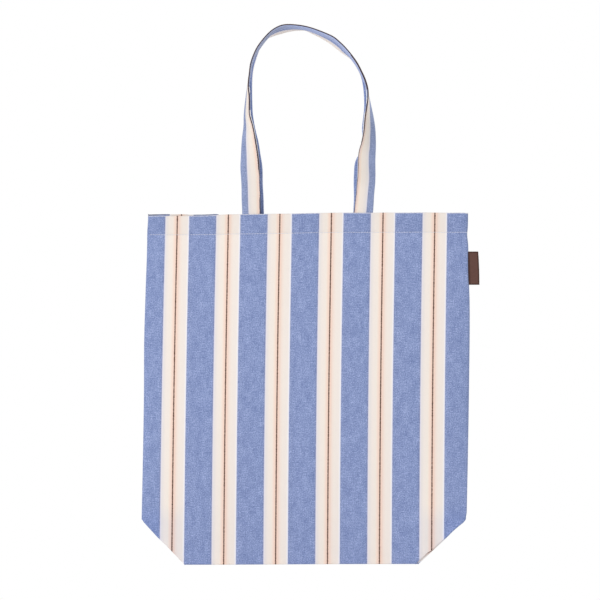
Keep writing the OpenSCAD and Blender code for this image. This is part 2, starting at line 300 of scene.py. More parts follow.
def thread(name, code, dark_code):
    """Mercerised cotton sewing thread: a slight lustre and a twist that breaks it into short glints."""
    made, tree = new_material(name)
    place = add(tree, "TexCoord").outputs["Object"]
    twist = add(tree, "TexNoise", {"Vector": place, "Scale": 2200.0, "Detail": 1.0})
    worn = add(tree, "TexNoise", {"Vector": place, "Scale": 160.0, "Detail": 1.0})
    tone = add(tree, "Mix", {0: worn.outputs[0], 6: hex_colour(code), 7: hex_colour(dark_code)},
               data_type="RGBA")
    bump = add(tree, "Bump", {"Height": twist.outputs[0], "Strength": 0.4, "Distance": 0.0001})
    finish_material(tree, tone, bump, 0.7)
    return made


def ribbon(name, height):
    """Woven polyester label ribbon, left bare: fine ribs across it, a faint satin lustre and a darker
    frame, with painted shade along its root where it goes into the seam."""
    made, tree = new_material(name)
    place, across, along = cloth_place(tree)
    edge = add(tree, "Math", {0: along, 1: height / 2}, operation="SUBTRACT")
    edge = add(tree, "Math", {0: edge}, operation="ABSOLUTE")
    border = add(tree, "MapRange", {"Value": edge, "From Min": height / 2 - 2.0,
                                              "From Max": height / 2 - 1.2})
    inward = add(tree, "Math", {0: across}, operation="ABSOLUTE")
    fold = add(tree, "MapRange", {"Value": inward, "From Min": 2.3, "From Max": 1.5})
    # Painted shade along the label's root, where it meets the bag's side edge
    root = add(tree, "MapRange", {"Value": inward, "From Min": 10.7, "From Max": 11.5})
    rim = add(tree, "Math", {0: border, 1: fold}, operation="MAXIMUM")
    rim = add(tree, "Math", {0: rim, 1: root}, operation="MAXIMUM")
    rim = add(tree, "Math", {0: rim, 1: 0.85}, operation="MULTIPLY")
    tone = add(tree, "Mix", {0: streaks(tree, place, 0.8, 1.6), 6: hex_colour("#563A31"),
                                       7: hex_colour("#694840")}, data_type="RGBA")
    edged = add(tree, "Mix", {0: rim, 6: tone, 7: hex_colour("#3F251D")}, data_type="RGBA")
    ribs = add(tree, "Math", {0: along, 1: 2 * math.pi / 0.6}, operation="MULTIPLY")
    ribs = add(tree, "Math", {0: ribs}, operation="SINE")
    bump = add(tree, "Bump", {"Height": ribs, "Strength": 0.3, "Distance": 0.0001})
    finish_material(tree, edged, bump, 0.55)
    return made


# The front panel's fold at the mouth gets a pale painted highlight with some rubbed wear, the back panel's a
# dark painted shade
front_cloth = canvas("striped cotton canvas, front panel", "#FCFCFC", layers=True, fold_tint_at=bag_h + 0.6)
canvas_cloth = canvas("striped cotton canvas", "#FCFCFC", layers=True, fold_tint_at=bag_h + 0.8,
                      fold_tint_hex="#3E4668")
# The strap copies of the cloth differ in tint. The front strap's is a little darker: painted shade where the
# lamps light it too brightly. The rear strap's is full white: painted light for its shaded slivers. The front
# strap's brown yarn is darker and greyer: the yarn, with painted shade of its sewn edge.
front_strap_cloth = canvas("striped cotton canvas, front strap", "#F6F6F6", ("#3A2F34", "#66545A"),
                           strap=True)
rear_strap_cloth = canvas("striped cotton canvas, rear strap", "#FFFFFF")
hem_thread = thread("cotton sewing thread, pale", "#EEEEF2", "#D3D8E6")
overlock_thread = thread("overlock thread, ecru", "#F1EAE0", "#DCD2C6")

# ---------------------------------------------------------------- shape of the bag


def smooth(t):
    s = np.clip(t, 0, 1)
    return s * s * (3 - 2 * s)


def mix(a, b, t):
    return a + (b - a) * t


def hump(t):
    """A soft bump of height 1 around t = 0."""
    return np.exp(-t * t)


LEAN, BOW, FOOT_SKEW = 6.0, 1.15, 2.5
MOUTH_DRAW = 3.0
DRAW_FROM = 0.64 * bag_h
FOOT_GAP, BELLY, MOUTH_GAP = 9.0, 30.0, 18.0
BELLY_HEIGHT = 190.0
EDGE, CORNER_EDGE = 1.3, 2.3


def middle_x(z):
    leaning = LEAN * (z / bag_h - 0.5) + BOW * np.sin(math.pi * z / bag_h)
    return leaning - FOOT_SKEW * np.maximum(0, 1 - z / half_base)


def half_width(z):
    draw = np.clip((z - DRAW_FROM) / (bag_h - hem_depth - DRAW_FROM), 0, 1)
    return np.where(z < half_base, full_half_width - half_base + z, full_half_width - MOUTH_DRAW * draw ** 2)


def side_reach(z, hand, side):
    """Distance from the middle of the bag to its side edge. The cloth is slack at the corners, the hem pulls
    its ends in, and the foot of the front's right corner is folded a little further in than the rear's."""
    reach = half_width(z)
    if hand < 0:
        slack = smooth(z / 35) * smooth((half_base - z) / 4) - 1.1 * smooth((34 - z) / 12)
        reach = reach + slack + 0.3 * hump((z - 383) / 14)
        return reach + 0.85 * hump((z - 399) / 10) + 0.6 * hump((z - 262) / 40)
    slack = 0.9 * hump((z - 50) / 2.5) - 0.6 * hump((z - 39) / 5) - 0.5 * hump((z - 57) / 3)
    slack = slack - 0.7 * hump((z - 54.5) / 2.5)
    reach = reach + slack - 0.9 * hump((z - 395) / 8) - 0.8 * hump((z - 352) / 24)
    if side < 0:
        reach = reach - 0.5 - 0.3 * smooth((62 - z) / 8) - 1.6 * smooth((15.5 - z) / 1.5)
        reach = reach - smooth((31 - z) / 3) * (0.2 + 0.8 * np.clip((31 - z) / 14, 0, 1))
    return reach


def half_mid(z):
    return np.where(z < BELLY_HEIGHT, mix(FOOT_GAP / 2, BELLY / 2, smooth(z / BELLY_HEIGHT)),
                    mix(BELLY / 2, MOUTH_GAP / 2, smooth((z - BELLY_HEIGHT) / (bag_h - BELLY_HEIGHT))))


def half_edge(z):
    return mix(CORNER_EDGE, EDGE, smooth((z - half_base) / half_base))


def across_bag(x, z):
    return (x - middle_x(z)) / half_width(z)


def half_thick(x, z):
    u = np.clip(across_bag(x, z), -1, 1)
    return mix(half_edge(z), half_mid(z), (1 - u * u) ** 0.65)


def stripe_at(x, z, side):
    """Place across the stripes of the cloth. Brown yarns lie at odd halves of the repeat on the front. The
    back panel, seen from behind, is cut a little askew."""
    share = z / bag_h
    bow = 0.9 + 0.75 * np.sin(math.pi * share)
    tight = (x / 157) ** 4 * np.where(x < 0, 0.8 * share, 0.42)
    centre = mix(-4.0, 1.05, share) - bow + np.minimum(tight, 1.5)
    if side < 0:
        return (x - centre) / mix(1.0048, 0.998, share)
    return -(x - mix(4.1, 5.4, share) - centre)


def bumps(x, z, side):
    """How far the hanging cloth stands out of its even shape."""
    phase = 0.0 if side < 0 else 2.1
    inner = (1 - np.clip(across_bag(x, z), -1, 1) ** 2) ** 0.5
    wave = 0.55 * np.sin(x / 41 + z / 160 + phase) + 0.4 * np.sin(x / 23 - z / 95 + 1.3 + phase)
    wave += 0.3 * np.sin(z / 37 + x / 110 + 2 * phase)
    pull = 0.7 * sum(hump((x - at) / 13) for at in (-64, 70)) * np.exp(-(bag_h - z) / 60)
    calm = smooth((bag_h - z) / 40) * 0.8 + 0.2
    shape = (wave * calm + pull) * inner * smooth(z / 25)
    # The turned plies of the hem lift the cloth above its row of stitches, which sinks in and puckers it
    hem = 0.4 * smooth((z - hem_row - 0.2) / 2.5)
    sunk = -0.4 * hump((z - hem_row) / 1.2)
    pucker = 0.16 * np.sin(x * 0.97 + 1.7 * np.sin(x / 19)) * hump((z - hem_row) / 5)
    edge = np.clip(1 - np.abs(across_bag(x, z)), 0, 1) * half_width(z)
    seam = 0.22 * np.sin(z * 0.71 + 1.9 * np.sin(z / 23) + phase) * np.exp(-edge / 5) * smooth(edge / 1.5)
    # The edge of the folded base prints through as a faint level ridge
    crease = 0.25 * hump((z - half_base) / 2.2) * smooth(inner * 3)
    return shape + (hem + sunk + pucker) * smooth(edge / 3) + seam + crease


def level_shift(x, z, side):
    """The mouth isn't level: it climbs to the right in small waves, and the hem climbs with it. The bottom
    edge sags a little on the left. At the left of the mouth the rear cloth shows above the front."""
    rise = 0.1 - 3.1 * (1 - smooth((x + 175) / 255)) + 0.12 * np.sin(x / 17) + 0.08 * np.sin(x / 7.3 + 1)
    rise += (0.8 + 0.8 * smooth((x + 125) / 30)) * smooth((z - hem_row - 5) / 14)
    rise -= 0.8 * smooth((x - 191) / 4) * smooth((z - 400) / 16)
    if side > 0:
        rise += mix(0.2, 0.75, smooth((x + 190) / 28)) * smooth((-138 - x) / 6) * smooth((z - 330) / 60)
        rise += mix(1.25, -0.7, smooth((x + 108) / 8)) * smooth((x + 192) / 4)
    sag = -0.9 * (1 - smooth((x + 150) / 250))
    return rise * smooth((z - 330) / 60) + sag * (1 - smooth(z / 70))


# Columns of the rolled side edge, from the inside out: inset from the side edge, share of the edge's half
# thickness. The first ones are the seam allowance, turned in between the panels.
ROLL = [(seam_allowance, 0.12), (5.5, 0.06), (3.6, 0.05), (2.0, 0.05), (1.3, 0.09), (0.6, 0.18), (0.15, 0.36),
        (0.0, 0.6), (0.08, 0.82), (0.4, 1.1)]


def panel_columns(first, last, step=2.7):
    """Columns of a panel as (share of half width, inset, share of edge thickness or None on the face)."""
    count = int(round(full_half_width * (last - first) / step))
    columns = [(share, 1.1, None) for share in np.linspace(first, last, count + 1)]
    if first == -1:
        columns = [(-1, inset, edge) for inset, edge in ROLL] + columns
    if last == 1:
        columns += [(1, inset, edge) for inset, edge in reversed(ROLL)]
    return columns


def panel_face(side, columns, rows):
    """Right side of a panel: points and places on the cloth. rows are (height, depth under the face)."""
    share = np.array([c[0] for c in columns], float)
    inset = np.array([c[1] for c in columns])
    edge = np.array([math.nan if c[2] is None else c[2] for c in columns])
    rolled = ~np.isnan(edge)
    face = np.flatnonzero(~rolled)
    points = np.zeros((len(rows), len(columns), 3))
    flat = np.zeros((len(rows), len(columns), 2))
    level = rows[0][0]
    for i, (z, depth) in enumerate(rows):
        reach = np.where(share < 0, side_reach(z, -1, side), side_reach(z, 1, side))
        # Near the foot the turned-in cloth gets narrower with the corner
        turned = np.where(inset > 2, 2 + (inset - 2) * min(1, 0.1 + z / 16), inset)
        x = middle_x(z) + share * (reach - turned)
        full = np.where(rolled, np.nan_to_num(edge) * half_edge(z), half_thick(x, z))
        y = np.maximum(0.05, full - depth)
        y = np.where(rolled, y, np.maximum(y + bumps(x, np.full_like(x, z), side), 0.1))
        # At the mouth the seam allowance ends a little lower, under the hem
        tucked = 2.4 * smooth((z - bag_h + 9) / 9) * (rolled & (inset > 1.2))
        points[i] = np.stack([x, side * y, z + level_shift(x, z, side) - tucked], 1)
        # Past the side edge the cloth goes on round the roll, though x turns back
        run = np.concatenate([[0], np.cumsum(np.hypot(np.diff(x), np.diff(y)))])
        stripe = stripe_at(x, z, side)
        nearest = np.clip(np.arange(len(x)), face[0], face[-1])
        beyond = run - run[nearest]
        flat[i, :, 0] = np.where(rolled, stripe[nearest] - side * beyond, stripe)
        if i:
            level += math.hypot(z - rows[i - 1][0], depth - rows[i - 1][1])
        flat[i, :, 1] = level
    return points, flat


def unit(v):
    return v / np.maximum(np.linalg.norm(v, axis=-1, keepdims=True), 1e-9)


def in_frame(points):
    """Millimetres above the bag's bottom edge to metres in the part's frame."""
    return np.asarray(points, float) * MM + np.array([0, 0, foot_level])


def new_object(name, verts, faces, material, flat=None, sharp=(), yarn_and_shade_quads=()):
    """A mesh piece. flat is each point's place on the cloth. The brown yarn's colour covers the listed quads:
    the yarn itself, and painted shade in the gap between a strap's folded plies.
    """
    mesh = bpy.data.meshes.new(name)
    mesh.from_pydata(in_frame(verts).tolist(), [], faces)
    mesh.polygons.foreach_set("use_smooth", [True] * len(mesh.polygons))
    if flat is not None:
        layer = mesh.uv_layers.new(name="cloth")
        corner = np.zeros(len(mesh.loops), int)
        mesh.loops.foreach_get("vertex_index", corner)
        places = np.asarray(flat, float)[corner]
        for quad in yarn_and_shade_quads:
            places[quad * 4:quad * 4 + 4, 0] = REPEAT / 2
        layer.data.foreach_set("uv", (places * MM).ravel())
    if sharp:
        ends = np.zeros(len(mesh.edges) * 2, int)
        mesh.edges.foreach_get("vertices", ends)
        flags = [(min(a, b), max(a, b)) in sharp for a, b in ends.reshape(-1, 2)]
        mesh.attributes.new("sharp_edge", "BOOLEAN", "EDGE").data.foreach_set("value", flags)
    mesh.materials.append(material)
    made = bpy.data.objects.new(name, mesh)
    bpy.context.scene.collection.objects.link(made)
    return made


def cloth_piece(name, points, flat, thick, material, out=1):
    """Closed piece of cloth: points is a grid on its right side, the wrong side lies behind it."""
    r, c, _ = points.shape
    normals = unit(np.cross(np.gradient(points, axis=1), np.gradient(points, axis=0))) * out
    verts = np.concatenate([points.reshape(-1, 3), (points - normals * thick).reshape(-1, 3)])
    last = r * c
    rim = list(range(c)) + [i * c + c - 1 for i in range(1, r)]
    rim += [(r - 1) * c + j for j in range(c - 2, -1, -1)] + [i * c for i in range(r - 2, 0, -1)]
    faces = []
    for a in [i * c + j for i in range(r - 1) for j in range(c - 1)]:
        quad = (a, a + 1, a + c + 1, a + c)
        faces += [quad, tuple(last + k for k in reversed(quad))]
    sharp = set()
    for a, b in zip(rim, rim[1:] + rim[:1]):
        faces.append((b, a, last + a, last + b))
        sharp |= {(min(a, b), max(a, b)), (min(a, b) + last, max(a, b) + last)}
    faces = faces if out > 0 else [face[::-1] for face in faces]
    return new_object(name, verts, faces, material, np.concatenate([flat.reshape(-1, 2)] * 2), sharp)


def stitches(name, rows, material, length=2.8, width=0.6, sink=0.2, sides=6):
    """Short arched lengths of thread that dip into the cloth at both ends. rows is a list of (places,
    directions along the thread, directions out of the cloth)."""
    places, along, out = (np.concatenate([np.asarray(row[k], float).reshape(-1, 3) for row in rows])
                          for k in range(3))
    arch = [(-0.5, 0.35, -1.0), (-0.4, 0.85, -0.3), (0.0, 1.0, 0.0), (0.4, 0.85, -0.3), (0.5, 0.35, -1.0)]
    round_thread = np.arange(sides) * 2 * math.pi / sides
    local = np.array([(at * length, wide * width / 2 * math.cos(a),
                       wide * width / 2 * math.sin(a) + dip * sink)
                      for at, wide, dip in arch for a in round_thread])
    across = unit(np.cross(out, along))
    verts = places[:, None]
    for k, direction in enumerate((along, across, out)):
        verts = verts + local[None, :, k:k + 1] * direction[:, None]
    one = []
    for s in range(len(arch) - 1):
        for k in range(sides):
            beside = (k + 1) % sides
            one.append((s * sides + beside, s * sides + k, (s + 1) * sides + k, (s + 1) * sides + beside))
    one += [tuple(range(sides)), tuple(len(local) - 1 - k for k in range(sides))]
    faces = [tuple(n * len(local) + v for v in face) for n in range(len(places)) for face in one]
    return new_object(name, verts.reshape(-1, 3), faces, material)


# Rows of a panel as (height, depth under its face): bottom turn, even part, turn over the mouth
BOTTOM_TURN = [(0.0, 1.05), (0.12, 0.62), (0.42, 0.27), (0.85, 0.06)]
MOUTH_TURN = [(bag_h - 0.75, 0.02), (bag_h - 0.3, 0.25), (bag_h - 0.05, 0.65), (bag_h, 1.1)]
EVEN_ROWS = np.concatenate([
    [1.4, 2.6, 4.5], np.linspace(7, half_base, 22), np.linspace(half_base, hem_row - 5, 120)[1:],
    np.linspace(hem_row - 5, hem_row + 4, 15)[1:], np.linspace(hem_row + 4, bag_h - 1.3, 8)[1:]])
PANEL_ROWS = BOTTOM_TURN + [(z, 0.0) for z in EVEN_ROWS] + MOUTH_TURN

# Inner plies of the hem: over the mouth, down inside, and round the folded edge at their foot
HEM_INSIDE = cloth + hem_plies + 0.08
HEM_ROWS = [(bag_h - 0.04, 0.95), (bag_h - 0.08, 1.5), (bag_h - 0.3, 2.1), (bag_h - 0.8, 2.45)]
HEM_ROWS += [(z, HEM_INSIDE) for z in np.linspace(bag_h - 1.6, hem_row + 1.5, 9)]
HEM_ROWS += [(hem_row + above, HEM_INSIDE - nearer)
             for above, nearer in ((0.7, 0.12), (0, 0.25), (-0.5, 0.15), (-0.75, 0.1), (-1.0, 0.5))]


def open_with_mouth(piece):
    """Bakes the front cloth's place into its mesh."""
    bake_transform(piece)


def level_row(side, first, last, height, depth, face):
    """A level row of stitches on a panel: face is 1 on its right side and -1 inside the bag."""
    x = np.arange(first, last, stitch_pitch) + 0.25 * stitch_pitch
    z = np.full_like(x, height)
    y = half_thick(x, z) - depth + bumps(x, z, side)
    slope = half_thick(x + 0.5, z) - half_thick(x - 0.5, z)
    along = unit(np.stack([np.ones_like(x), side * slope, np.zeros_like(x)], 1))
    out = unit(np.cross(along, np.array([0, 0, 1.0]))) * -side * face
    return np.stack([x, side * y, z + level_shift(x, z, side)], 1), along, out


# ---------------------------------------------------------------- panels and their hems

hem_centre = float(middle_x(hem_row))
hem_reach = float(half_width(hem_row))


def make_panel(side, hand, names):
    """A panel, or half of one, with the plies of its hem and the hem's stitches."""
    first, last = (-1 if hand <= 0 else 0), (1 if hand >= 0 else 0)
    columns = panel_columns(first, last)
    points, flat = panel_face(side, columns, PANEL_ROWS)
    material = front_cloth if side < 0 else canvas_cloth
    panel = cloth_piece(names[0], points, flat, cloth, material, -side)
    hem_columns = [c for c in columns if c[2] is None and abs(c[0]) < 0.945]
    points, flat = panel_face(side, hem_columns, HEM_ROWS)
    hem = cloth_piece(names[1], points, flat, hem_plies - 0.1, material, -side)
    outer = level_row(side, hem_centre + first * (hem_reach - 3), hem_centre + last * (hem_reach - 3),
                      hem_row, -0.1, 1)
    inner = level_row(side, hem_centre + first * (hem_reach - 13), hem_centre + last * (hem_reach - 13),
                      hem_row, HEM_INSIDE - 0.13, -1)
    row = stitches(names[2], [outer, inner], hem_thread)
    for piece, node in ((panel, "panel"), (hem, "hem"), (row, "hem_stitches")):
        if side < 0:
            open_with_mouth(piece)
        else:
            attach(piece, "bag")
        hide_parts(("front_" if side < 0 else "back_" if node == "panel" else "rear_") + node)


make_panel(-1, -1, ("front_panel_left", "front_hem_left", "front_hem_stitches_left"))
make_panel(-1, 1, ("front_panel_right", "front_hem_right", "front_hem_stitches_right"))
make_panel(1, 0, ("back_panel_cloth", "rear_hem_cloth", "rear_hem_stitches_row"))

# ---------------------------------------------------------------- folded base, corners and seams


def ride_on_bag(piece, node):
    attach(piece, "bag")
    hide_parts(node)


def base_half(side, name):
    """One half of the base: it goes on from the bottom turn and climbs to the crease between the panels."""
    across = np.linspace(-1, 1, 111)
    turn = [(0.0, 1.0), (0.12, 1.48), (0.42, 1.83), (0.85, 2.04)]
    rows = turn + [(z, None) for z in np.linspace(1.6, half_base - 0.4, 22)]
    x = middle_x(0.0) + (full_half_width - half_base - 1.6) * across
    foot = half_thick(x, np.zeros_like(x))
    points = np.zeros((len(rows), len(across), 3))
    flat = np.zeros((len(rows), len(across), 2))
    for i, (z, depth) in enumerate(rows):
        if depth is None:
            sway = 0.3 * np.sin(x / 31 + 2) * math.sin(math.pi * z / half_base)
            y = mix(foot - 2 * cloth - 0.3, 0.15, z / half_base) + sway
        else:
            y = foot - depth
        points[i] = np.stack([x, side * np.maximum(y, 0.12), z + level_shift(x, z, side)], 1)
        flat[i] = np.stack([stripe_at(x, 0.0, side), np.full_like(x, -z)], 1)
    piece = cloth_piece(name + "_cloth", points, flat, cloth, canvas_cloth, side)
    ride_on_bag(piece, name)


base_half(-1, "base_front_half")
base_half(1, "base_rear_half")


def corner_fold(hand, side, name, node):
    """Triangle of a panel turned in along the 45 degree edge, where its stripes turn level."""
    foot_corner = float(middle_x(0.0)) + hand * (full_half_width - half_base)
    heights = np.linspace(7, half_base - 0.4, 20)
    shares = np.linspace(0, 1, 15)
    points = np.zeros((len(heights), len(shares), 3))
    flat = np.zeros((len(heights), len(shares), 2))
    for i, z in enumerate(heights):
        inset = min(seam_allowance, 2 + 0.45 * z)
        edge = middle_x(z) + hand * (side_reach(z, hand, side) - inset)
        x = mix(edge, foot_corner + hand * 0.4, shares)
        y = mix(0.14, 0.34, shares) + 0.08 * np.sin(z / 5 + 6 * shares) * shares
        points[i] = np.stack([x, side * y, np.full_like(x, z)], 1)
        # The cloth lies reflected in the 45 degree line through the corner's foot
        flat[i] = np.stack([stripe_at(foot_corner + hand * z, z, side) + 0 * x, foot_corner - x], 1)
    piece = cloth_piece(name, points, flat, cloth, canvas_cloth, -side * hand)
    ride_on_bag(piece, node)


def overlock(path, out_1, out_2, edge_dir, half_gap):
    """Rows of overlock loops over the free edge of a seam allowance: slanted threads on both faces and short
    ones over the edge. path is the edge's line of points."""
    path = np.asarray(path, float)
    along = unit(np.gradient(path, axis=0))
    inward = -np.asarray(edge_dir, float)
    rows = []
    for out in (out_1, out_2):
        out = np.broadcast_to(np.asarray(out, float), path.shape)
        rows.append((path + inward * 2.1 + out * half_gap, unit(along * 0.35 + inward), out))
        between = path[:-1] + np.diff(path, axis=0) / 2
        rows.append((between + inward * 4.1 + out[:-1] * half_gap, along[:-1], out[:-1]))
    edge_out = np.broadcast_to(np.asarray(edge_dir, float), path.shape)
    over_edge = np.broadcast_to(unit(np.asarray(out_1, float)), path.shape)
    rows.append((path + edge_out * 0.1, over_edge, edge_out))
    return rows


for hand, word in ((-1, "left"), (1, "right")):
    for side, face in ((-1, "front"), (1, "rear")):
        corner_fold(hand, side, f"{word}_corner_fold_{face}", f"{word}_corner_folds")
    # The side seam's allowance is the panels' own cloth, held by overlock loops over its free edge
    z = np.arange(half_base + 2, bag_h - 5, 3.0)
    x = middle_x(z) + hand * (side_reach(z, hand, 1) - seam_allowance - 0.1)
    line = np.stack([x, np.zeros_like(z), z + level_shift(x, z, 1)], 1)
    seam = stitches(f"{word}_side_overlock", overlock(line, (0, -1, 0), (0, 1, 0), (-hand, 0, 0), 1.12),
                    overlock_thread, length=3.4, width=0.4, sink=0.1, sides=4)
    ride_on_bag(seam, f"{word}_side_seam")
    # Corner seam: the end of the base sewn to the foot of the side, one narrow allowance beside each panel
    centre = float(middle_x(0.0)) + hand * (full_half_width - half_base - 0.5)
    rows = []
    for side, face in ((-1, "front"), (1, "rear")):
        heights = np.linspace(20, half_base - 2, 12)
        widths = np.linspace(-4, 4, 6)
        points = np.array([[(centre + w, side * (2.1 + 0.05 * math.sin(h / 4)), h) for w in widths]
                           for h in heights])
        flat = np.array([[(YARN + 6 + w, h) for w in widths] for h in heights])
        strip = cloth_piece(f"{word}_corner_seam_{face}", points, flat, 0.7, canvas_cloth,
                            -side)
        ride_on_bag(strip, f"{word}_corner_seam")
        loops_up = np.linspace(21, 50, 10)
        line = np.stack([np.full(10, centre + hand * 4.0), np.full(10, side * 1.75), loops_up], 1)
        rows += overlock(line, (0, -1, 0), (0, 1, 0), (hand, 0, 0), 0.42)
    loops = stitches(f"{word}_corner_overlock", rows, overlock_thread, length=2.6, width=0.36, sink=0.1,
                     sides=4)
    ride_on_bag(loops, f"{word}_corner_seam")

# Bottom seam: the two halves of the base joined along the crease, their allowance standing up inside
seam_top = half_base + 8
across = np.linspace(-1, 1, 90) * (full_half_width - half_base - 3) + float(middle_x(0.0))
sway = 0.25 * np.sin(across / 17) + 0.15 * np.sin(across / 6.1 + 1)
levels = [half_base + 0.2, half_base + 3, half_base + 6, seam_top]
points = np.array([[(x, s * (h - half_base) / 8 - 0.62, h) for x, s in zip(across, sway)] for h in levels])
flat = np.array([[(float(stripe_at(x, 0.0, -1)), h) for x in across] for h in levels])
strip = cloth_piece("bottom_seam_allowance", points, flat, 1.24, canvas_cloth, 1)
ride_on_bag(strip, "bottom_seam")
line = np.stack([across, sway, np.full_like(across, seam_top)], 1)
loops = stitches("bottom_seam_overlock", overlock(line, (0, -1, 0), (0, 1, 0), (0, 0, 1), 0.7),
                 overlock_thread, length=3.0, width=0.4, sink=0.1, sides=4)
ride_on_bag(loops, "bottom_seam")

# ---------------------------------------------------------------- handles

# Each handle's middle line as (x, height above the mouth, angle turned on edge). The points are listed
# where the strap bends or turns, and a smooth curve joins them.
FRONT_ROUTE = [
    (-65, 0, 0), (-66.5, 50, 5), (-67, 70, 21), (-68, 90, 44), (-68.5, 105, 59), (-70, 120, 73),
    (-69, 140, 80), (-68.5, 155, 89), (-66.5, 170, 92), (-65, 180, 93), (-61.5, 190, 94), (-56, 200, 97),
    (-48.5, 210, 97), (-40, 218.5, 97), (-30, 223.5, 100), (-20, 225, 100), (-5, 224, 98), (10, 220, 99),
    (30, 212, 98), (40, 205, 96), (50, 194.5, 97), (60, 181.5, 96), (66.5, 170, 94), (71, 160, 93),
    (74, 150, 91), (75, 140, 87), (75.5, 130, 78), (76, 115, 63), (76.5, 100, 50), (75.5, 85, 39),
    (73.5, 70, 24), (73, 45, 21), (72, 30, 8), (69.5, 0, 0),
]
REAR_ROUTE = [
    (-61, 0, 0), (-62.5, 50, 18), (-63.5, 70, 34), (-64, 85, 50), (-64.5, 100, 69), (-64.5, 115, 86),
    (-65, 125, 90), (-65.5, 145, 91), (-65, 165, 93), (-62.5, 180, 93), (-55.5, 200, 92), (-48.5, 210, 93),
    (-40, 216, 101), (-30, 220, 105), (-20, 222, 102), (-10, 222.5, 98), (0, 221.5, 93), (10, 218, 98),
    (20, 213.5, 101), (30, 208, 103), (40, 200.5, 103), (45, 195.5, 100), (55, 187, 93), (60, 180.5, 92),
    (67, 167, 92), (70, 155, 91), (71.5, 140, 90), (71.5, 125, 89), (70.5, 105, 82), (70.5, 90, 81),
    (70, 80, 71), (70, 70, 54), (69.5, 60, 23), (69.5, 50, 4), (68.5, 0, 0),
]
STRAP_TAIL = 26.0
STRAP_STITCH = 20.9  # distance of the row of stitches from the fold


def smooth_route(values, steps=40):
    """Points of a smooth curve through a list of rows of numbers."""
    p = np.asarray(values, float)
    p = np.vstack([2 * p[0] - p[1], p, 2 * p[-1] - p[-2]])
    t = np.linspace(0, 1, steps, endpoint=False)[:, None]
    parts = []
    for before, a, b, after in zip(p, p[1:], p[2:], p[3:]):
        parts.append(0.5 * (2 * a + (b - before) * t + (2 * before - 5 * a + 4 * b - after) * t ** 2
                            + (3 * a - before - 3 * b + after) * t ** 3))
    return np.vstack(parts + [p[-2][None]])


def strap_line(route, side, step=1.3):
    """Middle line of a strap, with directions along it, across it and out of its front face, and the distance
    of each point from its start."""
    tail = np.linspace(-STRAP_TAIL, 0, 20, endpoint=False)
    left = np.stack([np.full_like(tail, route[0][0]), tail, 0 * tail], 1)
    right = np.stack([np.full_like(tail, route[-1][0]), tail, 0 * tail], 1)[::-1]
    rows = np.vstack([left, smooth_route(route), right])
    run = np.concatenate([[0], np.cumsum(np.linalg.norm(np.diff(rows[:, :2], axis=0), axis=1))])
    at = np.linspace(0, run[-1], int(round(run[-1] / step)) + 1)
    x, height, turned = (np.interp(at, run, rows[:, k]) for k in range(3))
    ahead = unit(np.gradient(np.stack([x, 0 * x, height], 1), axis=0))
    out = np.cross(np.array([0, 1.0, 0]), ahead) * -1
    front = np.array([0, -1.0, 0])
    lift = np.radians(turned)[:, None]
    wide = -np.cos(lift) * out + np.sin(lift) * front
    thick = np.cos(lift) * front + np.sin(lift) * out
    z = np.minimum(bag_h, bag_h + height)
    foot = half_thick(x, z) + bumps(x, z, side) - HEM_INSIDE - strap_t / 2 - 0.05
    y = side * mix(foot, strap_w / 2 + strap_t / 2 + 0.15, np.sin(np.minimum(math.pi / 2, lift[:, 0])))
    middle = np.stack([x, y, bag_h + height], 1)
    return middle, unit(np.gradient(middle, axis=0)), wide, thick, at


def strap_profile():
    """Half section of a strap as (distance from the fold, half thickness): round at the fold, sunk at the row
    of stitches, and open between the two folded edges at the sewn edge."""
    t = strap_t / 2
    fold = [(t - t * math.cos(a), t * math.sin(a)) for a in np.radians([0, 22, 45, 68, 90])]
    body = [(3, t + 0.1), (6.5, t + 0.16), (11, t + 0.2), (15, t + 0.18), (18.6, t + 0.08), (20, t - 0.14),
            (STRAP_STITCH, t - 0.3), (21.5, t - 0.12)]
    edge = [(0.45, t - 0.03), (0.1, t - 0.3), (0.0, t - 0.62), (0.15, t - 0.95), (0.6, 0.05)]
    return np.array(fold + body + [(strap_w - inset, half) for inset, half in edge])


